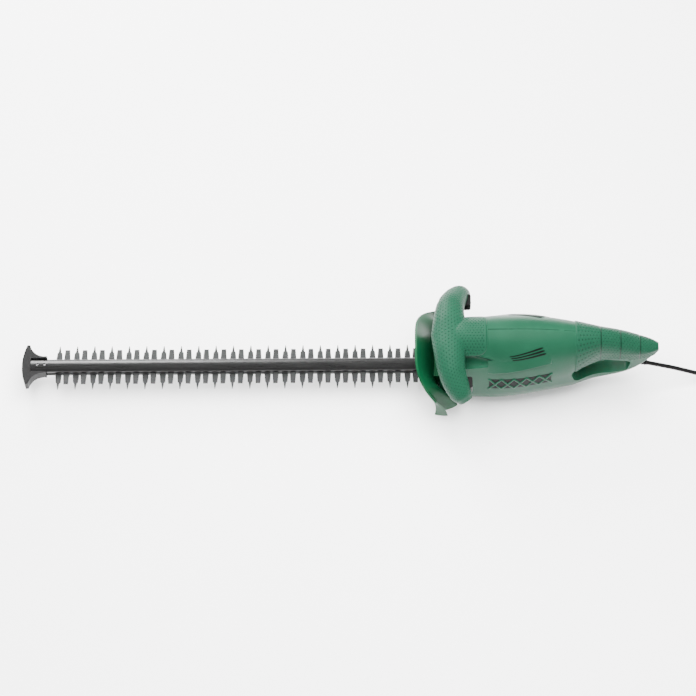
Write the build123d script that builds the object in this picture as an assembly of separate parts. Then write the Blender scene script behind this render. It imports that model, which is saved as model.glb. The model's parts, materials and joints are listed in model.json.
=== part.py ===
from build123d import *
import math
import os

# Corded hedge trimmer with a long double-sided blade, a curved hand guard, a two-winged front
# handle and a D-shaped rear handle. Millimetres. The blade points along -X, +Z is up, and the
# tool's left side faces -Y. Pieces are drawn in the tool frame, whose x = 0 is the front of the
# hand guard and whose z = 0 is the sliding plane of the blades, and are then moved by PLACE so
# that the origin is at the bottom centre of the whole tool.

# ---- driving dimensions -------------------------------------------------------------------
TOOTH_PITCH = 24.0
TOOTH_COUNT = 21
LAST_TOOTH_X = -10.0
COMB_TIP_WIDTH = 67.0
SPINE_WIDTH = 22.0
BLADE_THICKNESS = 2.0
CUTTER_TIP_WIDTH = 53.0
CUTTER_PHASE = 11.0
CUTTER_TRAVEL = 11.0
SLIDE_GAP = 0.15

BAR_WIDTH = 20.0
BAR_HEIGHT = 7.5
BAR_SCREWS = 6
BAR_SCREW_RADIUS = 2.5

TIP_GUARD_WIDTH = 62.0
TIP_GUARD_HEIGHT = 12.0

HOUSING_FRONT_X = 34.0
REAR_TIP_X = 330.0
BODY_HALF_WIDTH = 49.5
RIDGE_Z = 98.0
BASE_Z = -34.0
WALL = 3.0
GRIP_HALF_WIDTH = 18.0
RAIL_HALF_WIDTH = 19.0
PAD_THICKNESS = 2.0
PAD_FRONT_X = 218.0

GUARD_THICKNESS = 3.0
GUARD_HALF_WIDTH = 72.0
GUARD_TOP_Z = 62.0
GUARD_BULGE = 6.0
GUARD_SKIRT = 22.0
GUARD_SKIRT_SHARE = 0.70
GUARD_SKIRT_SPREAD = 0.14

WING_REACH = 76.0
WING_HALF_DEPTH = 25.0
WING_HALF_THICKNESS = 15.0
LEVER_TRAVEL = 3.0
LEVER_REAR_X = 77.0
LEVER_DROP = 44.0
LEVER_DEPTH = 22.0
LEVER_HEIGHT = 14.0

SCOOP_RADIUS = 17.0
SCOOP_LENGTH = 60.0

MOTOR_X = 128.0
STATOR_RADIUS = 32.0
CORE_LENGTH = 28.0
AIR_GAP = 0.6
SHAFT_RADIUS = 4.0
BEARING_RADIUS = 9.5
BEARING_WIDTH = 6.0
FAN_RADIUS = 30.0

GEAR_MODULE = 1.5
PINION_TEETH = 9
GEAR_TEETH = 39
GEAR_WIDTH = 8.0
GEAR_Z = 9.0
PRESSURE_ANGLE = 25.0
BACKLASH = 0.30
AXLE_RADIUS = 5.0
RUNNING_GAP = 0.05
DRIVE_PIN_RADIUS = 4.0

TRIGGER_WIDTH = 14.0
TRIGGER_PIVOT_X = 234.0
TRIGGER_PIVOT_Z = 57.0
TRIGGER_PIN_RADIUS = 2.0
TRIGGER_TRAVEL = 5.0

SCREW_RADIUS = 1.9
SCREW_HEAD_RADIUS = 3.6
BOSS_RADIUS = 4.6

RELIEF_TILT = 20.0
RELIEF_RADIUS = 4.2
CORD_DIAMETER = 6.0
PLUG_WIDTH = 36.0
COIL_RADIUS = 36.0
COIL_CENTRE = (562.0, 36.0)

CLEARANCE = 0.3
FIT_GAP = 0.1

# ---- sizes worked out from the driving dimensions -----------------------------------------
GEAR_CENTRES = GEAR_MODULE * (PINION_TEETH + GEAR_TEETH) / 2
GEAR_X = MOTOR_X - GEAR_CENTRES
BAR_REAR_X = GEAR_X - GEAR_MODULE * (GEAR_TEETH / 2 + 0.8) - 3.5
CUTTER_Z = SLIDE_GAP
BAR_Z = CUTTER_Z + BLADE_THICKNESS + SLIDE_GAP
FIRST_TOOTH_X = LAST_TOOTH_X - (TOOTH_COUNT - 1) * TOOTH_PITCH
BLADE_FRONT_X = FIRST_TOOTH_X - 34.0
TIP_FRONT_X = BLADE_FRONT_X - 16.0
PLATE_Z = GEAR_Z + GEAR_WIDTH + 4.0
PLATE_THICKNESS = 5.0
LOWER_BEARING_Z = PLATE_Z - 1.0
FAN_Z = PLATE_Z + PLATE_THICKNESS + 3.0
CORE_Z = FAN_Z + 11.0
COMMUTATOR_Z = CORE_Z + CORE_LENGTH + 3.0
UPPER_BEARING_Z = COMMUTATOR_Z + 11.0
ARMATURE_RADIUS = STATOR_RADIUS * 0.6
PLACE = Pos(-(TIP_FRONT_X + REAR_TIP_X) / 2, 0, -BASE_Z)

# Cord route in the final frame: its centre line from the strain relief to the coil on the floor,
# and from the top of the coil to the plug.
CORD_ROUTE = [
    (422.86, 0.0, 39.0),
    (449.17, 0.0, 29.42),
    (475.5, -1.5, 20.2),
    (502.0, -4.5, 11.6),
    (530.0, -5.0, 4.8),
    (562.0, 0.0, 3.2),
]
CORD_TAIL = [
    (598.0, 36.0, 9.8),
    (599.0, 55.0, 9.8),
    (596.0, 75.0, 11.5),
    (596.0, 92.0, 11.5),
]

nodes = {}


# ---- small makers -------------------------------------------------------------------------
def block(x0, x1, y0, y1, z0, z1):
    """Box between two corners."""
    centre = Pos((x0 + x1) / 2, (y0 + y1) / 2, (z0 + z1) / 2)
    return centre * Box(x1 - x0, y1 - y0, z1 - z0)


def post(x, y, z0, z1, radius):
    """Cylinder standing along Z from z0 to z1."""
    return Pos(x, y, (z0 + z1) / 2) * Cylinder(radius, z1 - z0)


def rod_y(x, z, y0, y1, radius):
    """Cylinder lying along Y from y0 to y1."""
    return Pos(x, (y0 + y1) / 2, z) * Rot(90, 0, 0) * Cylinder(radius, y1 - y0)


def rod_x(y, z, x0, x1, radius):
    """Cylinder lying along X from x0 to x1."""
    return Pos((x0 + x1) / 2, y, z) * Rot(0, 90, 0) * Cylinder(radius, x1 - x0)


def plate_xy(points, z0, z1):
    """Flat plate with the given outline in plan, from z0 to z1."""
    outline = make_face(Polyline(*points, close=True))
    return extrude(Pos(0, 0, z0) * outline, z1 - z0, dir=(0, 0, 1))


def prism_xz(points, half_width, corner_radii=None):
    """Side outline in X and Z carried across from -half_width to +half_width."""
    path = [(x, -half_width, z) for x, z in points]
    if corner_radii:
        outline = FilletPolyline(*path, radius=corner_radii, close=True)
    else:
        outline = Polyline(*path, close=True)
    return extrude(make_face(outline), 2 * half_width, dir=(0, 1, 0))


def mirrored(solid):
    """The same piece on the tool's other side."""
    return mirror(solid, about=Plane.XZ)


# ---- housing shape ------------------------------------------------------------------------
def housing_stations():
    """Stations along X: place, lowest z, lower and upper ends of the flat side, top z, half width."""
    front = HOUSING_FRONT_X
    tip = REAR_TIP_X
    low = BASE_Z - 2.5
    wide = BODY_HALF_WIDTH
    grip = GRIP_HALF_WIDTH
    rail = RAIL_HALF_WIDTH
    return [
        (front, low + 12, 8, 12, RIDGE_Z - 12, wide * 0.78),
        (front + 22, low + 2, 8, 13, RIDGE_Z - 3, wide * 0.90),
        (front + 56, low, 9, 15, RIDGE_Z - 0.5, wide * 0.97),
        (front + 96, low + 3, 14, 24, RIDGE_Z, wide),
        (tip - 160, low + 10, 16, 34, RIDGE_Z - 1, wide * 0.89),
        (tip - 114, low + 16, 14, 42, RIDGE_Z - 7, wide * 0.68),
        (tip - 78, low + 24, 4, 62, RIDGE_Z - 13.5, max(grip, rail)),
        (tip - 51, low + 34, 10, 58, RIDGE_Z - 22.5, max(grip, rail) - 2),
        (tip - 24, low + 51, 26, 52, RIDGE_Z - 36, grip - 4.5),
        (tip - 8, low + 69, 42, 51, RIDGE_Z - 43, grip - 9.5),
        (tip, low + 82, 48, 50, RIDGE_Z - 46, grip - 14),
    ]


def half_section(station, inset):
    """Egg-shaped half section: two quarter ellipses joined by a short upright side."""
    x, low, side_low, side_high, top, half = station
    low, top, half = low + inset, top - inset, half - inset
    plane = Plane(origin=(x, 0, 0), x_dir=(0, 1, 0), z_dir=(1, 0, 0))
    upper = EllipticalCenterArc((0, side_high), half, top - side_high, 0, arc_size=90)
    side = Line((half, side_low), (half, side_high))
    lower = EllipticalCenterArc((0, side_low), half, side_low - low, 270, arc_size=90)
    closing = Line((0, top), (0, low))
    return plane * make_face(upper + side + lower + closing)


def half_body(inset):
    """Half of the housing's outer shape, on the +Y side, moved inwards by inset."""
    faces = []
    for station in housing_stations():
        x, low, side_low, side_high, top, half = station
        thin = min(half, top - side_high, side_low - low)
        if thin < inset + 1.0:
            continue
        if not faces:
            station = (x + inset, low, side_low, side_high, top, half)
        faces.append(half_section(station, inset))
    solid = loft(faces)
    keep_above_base = block(-20, REAR_TIP_X + 20, -1, 120, BASE_Z + inset, RIDGE_Z + 30)
    return solid & keep_above_base


def scoop_cone(grow=0.0):
    """Tapered recess on the +Y side that starts under the wing and fades out to the rear."""
    start = Plane(origin=(HOUSING_FRONT_X + 28, 38, RIDGE_Z - 25), z_dir=(1, 0, -0.06))
    length = SCOOP_LENGTH * (SCOOP_RADIUS + grow) / SCOOP_RADIUS
    return start * Pos(0, 0, length / 2) * Cone(SCOOP_RADIUS + grow, 0.5, length)


def opening_prism(grow=0.0):
    """Finger opening of the rear handle, a rounded hole right across."""
    tip = REAR_TIP_X
    points = [
        (tip - 122 - grow, 46 + grow),
        (tip - 74, 46 + grow),
        (tip - 36 + grow, 36 + grow),
        (tip - 41 + grow, 15 - grow),
        (tip - 62, 10 - grow),
        (tip - 112 - grow, 10 - grow),
    ]
    radii = [13 + grow, 40, 6 + grow, 6 + grow, 30, 13 + grow]
    return prism_xz(points, BODY_HALF_WIDTH + 20, radii)


def wing_stations():
    """Centre line of one wing of the front handle: centre, direction, half depth, half thickness."""
    reach = WING_REACH
    root_z = RIDGE_Z - WING_HALF_THICKNESS - 2.5
    deep = WING_HALF_DEPTH
    thick = WING_HALF_THICKNESS
    return [
        ((48, 0, root_z), (0, 1, 0), deep, thick),
        ((47.5, 0.32 * reach, root_z), (0.03, 1, -0.04), deep - 4, thick),
        ((49, 0.60 * reach, root_z - 4), (0.20, 1, -0.35), deep - 6.5, thick - 0.5),
        ((54, 0.82 * reach, root_z - 11.5), (0.55, 1, -0.65), deep - 8, thick - 1.5),
        ((61.5, reach, root_z - 21), (0.9, 1, -1.0), deep - 10.5, thick - 2.5),
        ((68.5, reach + 7.5, root_z - 29), (0.9, 1, -1.0), deep - 15.5, thick - 6.5),
    ]


def half_wing(inset):
    """One wing of the front handle on the +Y side, moved inwards by inset."""
    faces = []
    stations = wing_stations()
    if inset:
        stations = stations[:-1]
    for centre, direction, deep, thick in stations:
        plane = Plane(origin=centre, x_dir=(1, 0, -0.02), z_dir=direction)
        faces.append(plane * Ellipse(deep - inset, thick - inset))
    return loft(faces)


def screw_places():
    """Centres of the screws that clamp the two housing halves, as x and z."""
    front = HOUSING_FRONT_X
    tip = REAR_TIP_X
    return [
        (front + 9, -18),
        (front + 9, 43),
        (MOTOR_X + 45, RIDGE_Z - 19),
        (MOTOR_X + 46, -12),
        (tip - 128, 62),
        (tip - 117, -4),
        (tip - 30, 45.5),
        (tip - 46, 6),
    ]


# ---- blade group --------------------------------------------------------------------------
def comb_tooth(x):
    """Half outline of a long pointed tooth: tapered body, shoulders, then a narrow tip."""
    spine = SPINE_WIDTH / 2
    tip = COMB_TIP_WIDTH / 2
    shoulder = spine + 0.52 * (tip - spine)
    left = [(x - 4.4, spine), (x - 3.3, shoulder), (x - 1.9, shoulder + 1.6), (x - 0.4, tip)]
    return left + [(2 * x - px, py) for px, py in reversed(left)]


def cutter_tooth(x):
    """Half outline of a short flat-topped cutting tooth."""
    spine = SPINE_WIDTH / 2
    tip = CUTTER_TIP_WIDTH / 2
    return [(x - 4.3, spine), (x - 3.1, tip), (x + 3.1, tip), (x + 4.3, spine)]


def toothed_strip(front, back, tooth, first_x, z0):
    """Flat double-sided blade from one tooth outline repeated along both edges."""
    half = SPINE_WIDTH / 2
    edge = [(front, half)]
    for i in range(TOOTH_COUNT):
        edge += tooth(first_x + i * TOOTH_PITCH)
    edge.append((back, half))
    return plate_xy(edge + [(x, -y) for x, y in reversed(edge)], z0, z0 + BLADE_THICKNESS)


def bar_screw_places():
    """Centres of the screws that clamp comb and bar, spread evenly along the teeth."""
    first = FIRST_TOOTH_X + 1.25 * TOOTH_PITCH
    last = LAST_TOOTH_X - 0.25 * TOOTH_PITCH
    step = (last - first) / (BAR_SCREWS - 1)
    return [first + i * step for i in range(BAR_SCREWS)]


def spacer_radius():
    """Outer radius of the spacer bush that the cutter blade slides along."""
    return BAR_SCREW_RADIUS + 1.5


def make_blades():
    """Fixed comb, moving cutter, guide bar, spacer bushes and bar screws."""
    comb = toothed_strip(BLADE_FRONT_X, BAR_REAR_X, comb_tooth, FIRST_TOOTH_X, -BLADE_THICKNESS)
    cutter_front = FIRST_TOOTH_X + CUTTER_PHASE - 12
    yoke_half_length = 12.0
    yoke_half_width = 24.0
    cutter_top = CUTTER_Z + BLADE_THICKNESS
    cutter = toothed_strip(cutter_front, GEAR_X, cutter_tooth, FIRST_TOOTH_X + CUTTER_PHASE, CUTTER_Z)
    cutter += block(
        GEAR_X - yoke_half_length, GEAR_X + yoke_half_length,
        -yoke_half_width, yoke_half_width, CUTTER_Z, cutter_top,
    )
    slot_half = CUTTER_TRAVEL + DRIVE_PIN_RADIUS + 1
    slot = block(
        GEAR_X - DRIVE_PIN_RADIUS - FIT_GAP, GEAR_X + DRIVE_PIN_RADIUS + FIT_GAP,
        -slot_half, slot_half, CUTTER_Z - 1, cutter_top + 1,
    )
    cutter -= slot

    bar_top = BAR_Z + BAR_HEIGHT
    half_bar = BAR_WIDTH / 2
    profile = (
        Line((-half_bar, BAR_Z), (half_bar, BAR_Z))
        + Line((half_bar, BAR_Z), (half_bar, BAR_Z + 2))
        + EllipticalCenterArc((0, BAR_Z + 2), half_bar, bar_top - BAR_Z - 2, 0, arc_size=180)
        + Line((-half_bar, BAR_Z + 2), (-half_bar, BAR_Z))
    )
    plane = Plane(origin=(BLADE_FRONT_X - 4, 0, 0), x_dir=(0, 1, 0), z_dir=(1, 0, 0))
    bar = extrude(plane * make_face(profile), BAR_REAR_X - BLADE_FRONT_X + 4, dir=(1, 0, 0))

    screws = Part()
    spacers = Part()
    slot_reach = CUTTER_TRAVEL + spacer_radius() + FIT_GAP
    slot_half_width = spacer_radius() + FIT_GAP
    for x in bar_screw_places():
        hole = post(x, 0, -BLADE_THICKNESS - 1, bar_top - 1.5, BAR_SCREW_RADIUS + FIT_GAP)
        comb -= hole
        bar -= hole
        cutter -= block(x - slot_reach, x + slot_reach, -slot_half_width, slot_half_width,
                        CUTTER_Z - 1, cutter_top + 1)
        spacer = post(x, 0, 0, BAR_Z, spacer_radius())
        spacers += spacer - post(x, 0, -1, BAR_Z + 1, BAR_SCREW_RADIUS + FIT_GAP)
        screws += post(x, 0, -BLADE_THICKNESS, bar_top - 2, BAR_SCREW_RADIUS)
        screws += post(x, 0, -BLADE_THICKNESS - 2.2, -BLADE_THICKNESS, BAR_SCREW_RADIUS + 2)
    tip_holes = [BLADE_FRONT_X + 5, BLADE_FRONT_X + 15]
    for x in tip_holes:
        hole = post(x, 0, -BLADE_THICKNESS - 1, bar_top + 1, 2.1)
        comb -= hole
        bar -= hole
    gear_screw_hole = post(BAR_REAR_X - 14, 0, -BLADE_THICKNESS - 1, bar_top + 1, 2.6)
    comb -= gear_screw_hole
    bar -= gear_screw_hole
    cutter -= block(BAR_REAR_X - 14 - CUTTER_TRAVEL - 3, BAR_REAR_X - 14 + CUTTER_TRAVEL + 3,
                    -3, 3, CUTTER_Z - 1, cutter_top + 1)
    nodes["comb_blade"] = comb
    nodes["cutter_blade"] = cutter
    nodes["guide_bar"] = bar
    nodes["blade_spacers"] = spacers
    nodes["bar_screws"] = screws


def make_tip_guard():
    """Blunt arrow-shaped guard that wraps the end of the bar, with its two screws."""
    half = TIP_GUARD_WIDTH / 2
    front = TIP_FRONT_X
    back = BLADE_FRONT_X + 18
    neck = BAR_WIDTH / 2 + 3
    bottom = -BLADE_THICKNESS - 2.5
    top = bottom + TIP_GUARD_HEIGHT + 2
    crown = ThreePointArc((front + 6, half), (front, 0), (front + 6, -half))
    outline = (
        crown
        + Line((front + 6, -half), (front + 10, -half + 1))
        + ThreePointArc((front + 10, -half + 1), (front + 17, -neck - 5), (back, -neck))
        + Line((back, -neck), (back, neck))
        + ThreePointArc((back, neck), (front + 17, neck + 5), (front + 10, half - 1))
        + Line((front + 10, half - 1), (front + 6, half))
    )
    solid = extrude(Pos(0, 0, bottom) * make_face(outline), top - bottom, dir=(0, 0, 1))
    pocket_half = SPINE_WIDTH / 2 + FIT_GAP
    solid -= block(BLADE_FRONT_X - FIT_GAP, back + 1, -pocket_half, pocket_half,
                   -BLADE_THICKNESS - FIT_GAP, BAR_Z)
    bar_half = BAR_WIDTH / 2 + FIT_GAP
    solid -= block(BLADE_FRONT_X - 4 - FIT_GAP, back + 1, -bar_half, bar_half,
                   BAR_Z - 0.01, top + 1)
    solid += block(front + 9, BLADE_FRONT_X - 4 - FIT_GAP, -half * 0.4, half * 0.4, top - 0.5, top)
    screws = Part()
    for x in (BLADE_FRONT_X + 5, BLADE_FRONT_X + 15):
        solid -= post(x, 0, bottom - 1, 0, 2.0 + FIT_GAP)
        shank = post(x, 0, bottom, BAR_Z + BAR_HEIGHT - 1, 2.0)
        screws += shank + post(x, 0, bottom - 1.6, bottom, 3.6)
    nodes["tip_guard"] = solid
    nodes["tip_guard_screws"] = screws


# ---- gears --------------------------------------------------------------------------------
def involute(angle):
    return math.tan(angle) - angle


def gear_outline(teeth, turn):
    """Spur gear outline: involute flanks with backlash, straight roots, flat tips."""
    pressure = math.radians(PRESSURE_ANGLE)
    pitch_radius = GEAR_MODULE * teeth / 2
    base_radius = pitch_radius * math.cos(pressure)
    tip_radius = pitch_radius + 0.8 * GEAR_MODULE
    root_radius = pitch_radius - 1.05 * GEAR_MODULE
    half_tooth = math.pi / (2 * teeth) - BACKLASH / (4 * pitch_radius)

    def half_angle(radius):
        if radius <= base_radius:
            return half_tooth + involute(pressure)
        at = math.acos(base_radius / radius)
        return half_tooth + involute(pressure) - involute(at)

    start = max(root_radius, base_radius)
    flank = [start + (tip_radius - start) * i / 3 for i in range(4)]
    if root_radius < base_radius:
        flank = [root_radius] + flank
    points = []
    for tooth in range(teeth):
        middle = turn + 2 * math.pi * tooth / teeth
        for radius in flank:
            angle = middle - half_angle(radius)
            points.append((radius * math.cos(angle), radius * math.sin(angle)))
        for radius in reversed(flank):
            angle = middle + half_angle(radius)
            points.append((radius * math.cos(angle), radius * math.sin(angle)))
    return make_face(Polyline(*points, close=True))


def make_gears():
    """Drive gear with its crank pin, its fixed axle, and the pinion on the motor shaft."""
    gear_face = gear_outline(GEAR_TEETH, 0.0)
    gear = Pos(GEAR_X, 0, GEAR_Z) * extrude(gear_face, GEAR_WIDTH, dir=(0, 0, 1))
    gear += post(GEAR_X, 0, GEAR_Z + GEAR_WIDTH, GEAR_Z + GEAR_WIDTH + 2.5, 9)
    gear -= post(GEAR_X, 0, GEAR_Z - 1, GEAR_Z + GEAR_WIDTH + 4, AXLE_RADIUS + RUNNING_GAP)
    web_middle = (AXLE_RADIUS + GEAR_MODULE * GEAR_TEETH / 2) / 2 + 2.5
    for i in range(6):
        angle = math.radians(60 * i + 30)
        gear -= post(GEAR_X + web_middle * math.cos(angle), web_middle * math.sin(angle),
                     GEAR_Z - 1, GEAR_Z + GEAR_WIDTH + 1, 3.5)
    gear += post(GEAR_X, CUTTER_TRAVEL, GEAR_Z - 3.0, GEAR_Z, DRIVE_PIN_RADIUS + 3)
    gear -= post(GEAR_X, 0, GEAR_Z - 5, GEAR_Z + 1, AXLE_RADIUS + RUNNING_GAP)
    pin_bottom = CUTTER_Z + BLADE_THICKNESS + 0.6
    crank = post(GEAR_X, CUTTER_TRAVEL, pin_bottom, GEAR_Z - 3.0, DRIVE_PIN_RADIUS)
    nodes["drive_gear"] = gear
    nodes["crank_pin"] = crank

    axle = post(GEAR_X, 0, GEAR_Z - 1.2, PLATE_Z + PLATE_THICKNESS, AXLE_RADIUS)
    axle += post(GEAR_X, 0, GEAR_Z - 2.4, GEAR_Z - 1.2, AXLE_RADIUS - 1.2)
    nodes["gear_axle"] = axle

    pinion_turn = math.pi + math.pi / PINION_TEETH
    pinion_face = gear_outline(PINION_TEETH, pinion_turn)
    pinion = Pos(MOTOR_X, 0, GEAR_Z - 0.5) * extrude(pinion_face, GEAR_WIDTH + 1, dir=(0, 0, 1))
    pinion -= post(MOTOR_X, 0, GEAR_Z - 2, GEAR_Z + GEAR_WIDTH + 2, SHAFT_RADIUS - 1)
    nodes["motor_pinion"] = pinion


def make_gearbox():
    """Gearbox base under the blades and the cover plate that holds the axle and lower bearing."""
    front = HOUSING_FRONT_X + WALL + 4
    rear = MOTOR_X + 14
    side = 30.0
    base_top = -BLADE_THICKNESS
    base = block(front, GEAR_X + 22, -side + 1, side - 1, base_top - 5, base_top)
    base -= block(GEAR_X - 24, GEAR_X + 24, -20, 20, base_top - 2, base_top + 1)
    cover = block(front, rear, -side, side, PLATE_Z, PLATE_Z + PLATE_THICKNESS)
    cover += post(MOTOR_X, 0, LOWER_BEARING_Z - 1.5, PLATE_Z + PLATE_THICKNESS, BEARING_RADIUS + 3)
    cover += post(GEAR_X, 0, PLATE_Z, PLATE_Z + PLATE_THICKNESS + 2, AXLE_RADIUS + 4)
    cover -= post(GEAR_X, 0, PLATE_Z - 1, PLATE_Z + PLATE_THICKNESS, AXLE_RADIUS)
    cover -= post(MOTOR_X, 0, LOWER_BEARING_Z, PLATE_Z + PLATE_THICKNESS + 1, BEARING_RADIUS)
    cover -= post(MOTOR_X, 0, LOWER_BEARING_Z - 3, LOWER_BEARING_Z, SHAFT_RADIUS + 2)
    screws = Part()
    column_places = [(front + 5, side - 5), (front + 5, 5 - side),
                     (GEAR_X + 16, side - 4), (GEAR_X + 16, 4 - side)]
    clear_radius = GEAR_MODULE * (GEAR_TEETH / 2 + 0.8) + 1
    for x, y in column_places:
        if math.hypot(x - GEAR_X, y) - 4.2 < clear_radius:
            continue
        base += post(x, y, base_top, PLATE_Z, 4.2)
    for x, y in column_places:
        if math.hypot(x - GEAR_X, y) - 4.2 < clear_radius:
            continue
        base -= post(x, y, base_top - 6, PLATE_Z + 1, SCREW_RADIUS)
        cover -= post(x, y, PLATE_Z - 1, PLATE_Z + PLATE_THICKNESS + 1, SCREW_RADIUS + FIT_GAP)
        screws += post(x, y, base_top - 4, PLATE_Z + PLATE_THICKNESS, SCREW_RADIUS)
        screws += post(x, y, PLATE_Z + PLATE_THICKNESS, PLATE_Z + PLATE_THICKNESS + 2.4,
                       SCREW_HEAD_RADIUS)
    blade_x = BAR_REAR_X - 14
    base -= post(blade_x, 0, base_top - 6, base_top + 1, 2.6)
    blade_screw = post(blade_x, 0, base_top - 5, BAR_Z + BAR_HEIGHT, 2.5)
    blade_screw += post(blade_x, 0, BAR_Z + BAR_HEIGHT, BAR_Z + BAR_HEIGHT + 1.8, 4.0)
    blade_screw += post(blade_x, 0, base_top - 7.5, base_top - 5, 4.2)
    nodes["gearbox_base"] = base
    nodes["gearbox_cover"] = cover
    nodes["gearbox_screws"] = screws
    nodes["blade_clamp_bolt"] = blade_screw


# ---- motor --------------------------------------------------------------------------------
def bearing(z):
    """Ball bearing around the motor shaft, drawn as one closed ring."""
    ring = post(MOTOR_X, 0, z, z + BEARING_WIDTH, BEARING_RADIUS)
    return ring - post(MOTOR_X, 0, z - 1, z + BEARING_WIDTH + 1, SHAFT_RADIUS + RUNNING_GAP)


def make_motor():
    """Upright series motor: stator, coils, armature, commutator, brushes, bearings and fan."""
    core_top = CORE_Z + CORE_LENGTH
    bore = ARMATURE_RADIUS + AIR_GAP
    stator = post(MOTOR_X, 0, CORE_Z, core_top, STATOR_RADIUS)
    stator &= block(MOTOR_X - STATOR_RADIUS, MOTOR_X + STATOR_RADIUS,
                    -STATOR_RADIUS * 0.86, STATOR_RADIUS * 0.86, CORE_Z, core_top)
    stator -= post(MOTOR_X, 0, CORE_Z - 1, core_top + 1, bore)
    coils = Part()
    for side in (-1, 1):
        window = block(MOTOR_X - 11, MOTOR_X + 11, side * (bore + 3) - 2.4, side * (bore + 3) + 2.4,
                       CORE_Z - 1, core_top + 1)
        stator -= window
        coil = block(MOTOR_X - 10.6, MOTOR_X + 10.6, side * (bore + 3) - 2, side * (bore + 3) + 2,
                     CORE_Z - 2.5, core_top + 2.5)
        coils += coil
    nodes["stator_core"] = stator
    nodes["field_coils"] = coils

    core = post(MOTOR_X, 0, CORE_Z + 1, core_top - 1, ARMATURE_RADIUS)
    slots = 8
    for i in range(slots):
        slot = Pos(ARMATURE_RADIUS - 2, 0, (CORE_Z + core_top) / 2) * Box(7, 3.2, CORE_LENGTH + 4)
        core -= Pos(MOTOR_X, 0, 0) * Rot(0, 0, 360 / slots * i + 22.5) * slot
    core -= post(MOTOR_X, 0, CORE_Z, core_top, SHAFT_RADIUS)
    nodes["armature_core"] = core
    winding = post(MOTOR_X, 0, core_top - 1, core_top + 2, ARMATURE_RADIUS - 4)
    winding += post(MOTOR_X, 0, CORE_Z - 2.5, CORE_Z + 1, ARMATURE_RADIUS - 4)
    winding -= post(MOTOR_X, 0, CORE_Z - 3, core_top + 3, SHAFT_RADIUS)
    nodes["armature_winding"] = winding

    commutator = post(MOTOR_X, 0, COMMUTATOR_Z, COMMUTATOR_Z + 10, 10.5)
    commutator -= post(MOTOR_X, 0, COMMUTATOR_Z - 1, COMMUTATOR_Z + 11, SHAFT_RADIUS)
    nodes["commutator"] = commutator
    brush_z = COMMUTATOR_Z + 5
    brushes = Part()
    holders = Part()
    for side in (-1, 1):
        near, far = sorted((side * (10.5 + CLEARANCE), side * 20.5))
        brushes += block(MOTOR_X - 2.6, MOTOR_X + 2.6, near, far, brush_z - 3, brush_z + 3)
        near, far = sorted((side * 12.5, side * 24.5))
        holder = block(MOTOR_X - 4.6, MOTOR_X + 4.6, near, far, brush_z - 5, brush_z + 4.6)
        cut_near, cut_far = sorted((side * 12, side * 23))
        holder -= block(MOTOR_X - 2.7, MOTOR_X + 2.7, cut_near, cut_far, brush_z - 3.1, brush_z + 3.1)
        holders += holder
    nodes["carbon_brushes"] = brushes
    nodes["brush_holders"] = holders

    shaft = post(MOTOR_X, 0, LOWER_BEARING_Z - 2, UPPER_BEARING_Z + BEARING_WIDTH, SHAFT_RADIUS)
    shaft += post(MOTOR_X, 0, GEAR_Z - 2, LOWER_BEARING_Z - 2, SHAFT_RADIUS - 1)
    nodes["motor_shaft"] = shaft
    nodes["lower_bearing"] = bearing(LOWER_BEARING_Z)
    nodes["upper_bearing"] = bearing(UPPER_BEARING_Z)
    cap_top = UPPER_BEARING_Z + BEARING_WIDTH
    cap = post(MOTOR_X, 0, UPPER_BEARING_Z - 0.5, cap_top + 1.5, BEARING_RADIUS + 2)
    cap -= post(MOTOR_X, 0, UPPER_BEARING_Z - 1, cap_top, BEARING_RADIUS)
    nodes["upper_bearing_cap"] = cap

    fan = post(MOTOR_X, 0, FAN_Z, FAN_Z + 1.6, FAN_RADIUS)
    hub_outer = 8.0
    blade_length = FAN_RADIUS - hub_outer - 1
    fan += post(MOTOR_X, 0, FAN_Z, FAN_Z + 7, hub_outer)
    blades = 10
    for i in range(blades):
        blade = Pos(hub_outer + blade_length / 2, 0, FAN_Z + 4) * Box(blade_length + 1, 1.6, 6)
        fan += Pos(MOTOR_X, 0, 0) * Rot(0, 0, 360 / blades * i) * blade
    fan -= post(MOTOR_X, 0, FAN_Z - 1, FAN_Z + 9, SHAFT_RADIUS)
    nodes["cooling_fan"] = fan


# ---- hand guard ---------------------------------------------------------------------------
def guard_section(share):
    """Thin slanted strip of the guard at a share of its half width, from rim to lower edge."""
    y = GUARD_HALF_WIDTH * share
    bend = abs(share)
    rim_x = 26.7 * bend ** 4
    rim_z = GUARD_TOP_Z - 37.0 * bend ** 2.6
    skirt = GUARD_SKIRT * math.exp(-((bend - GUARD_SKIRT_SHARE) / GUARD_SKIRT_SPREAD) ** 2)
    foot_x = 30.0 + 11.5 * bend ** 4 + skirt
    foot_z = -18.0 + 5.0 * bend ** 3
    slant = math.atan2(foot_x - rim_x, rim_z - foot_z)
    step = Vector(math.cos(slant), 0, math.sin(slant)) * GUARD_THICKNESS
    rim = Vector(rim_x, y, rim_z)
    foot = Vector(foot_x, y, foot_z)
    middle = (rim + foot) / 2 + step * (GUARD_BULGE * (1 - 0.5 * bend ** 2) / GUARD_THICKNESS)
    outline = (
        ThreePointArc(rim, middle, foot)
        + Line(foot, foot + step)
        + ThreePointArc(foot + step, middle + step, rim + step)
        + Line(rim + step, rim)
    )
    return make_face(outline)


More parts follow.
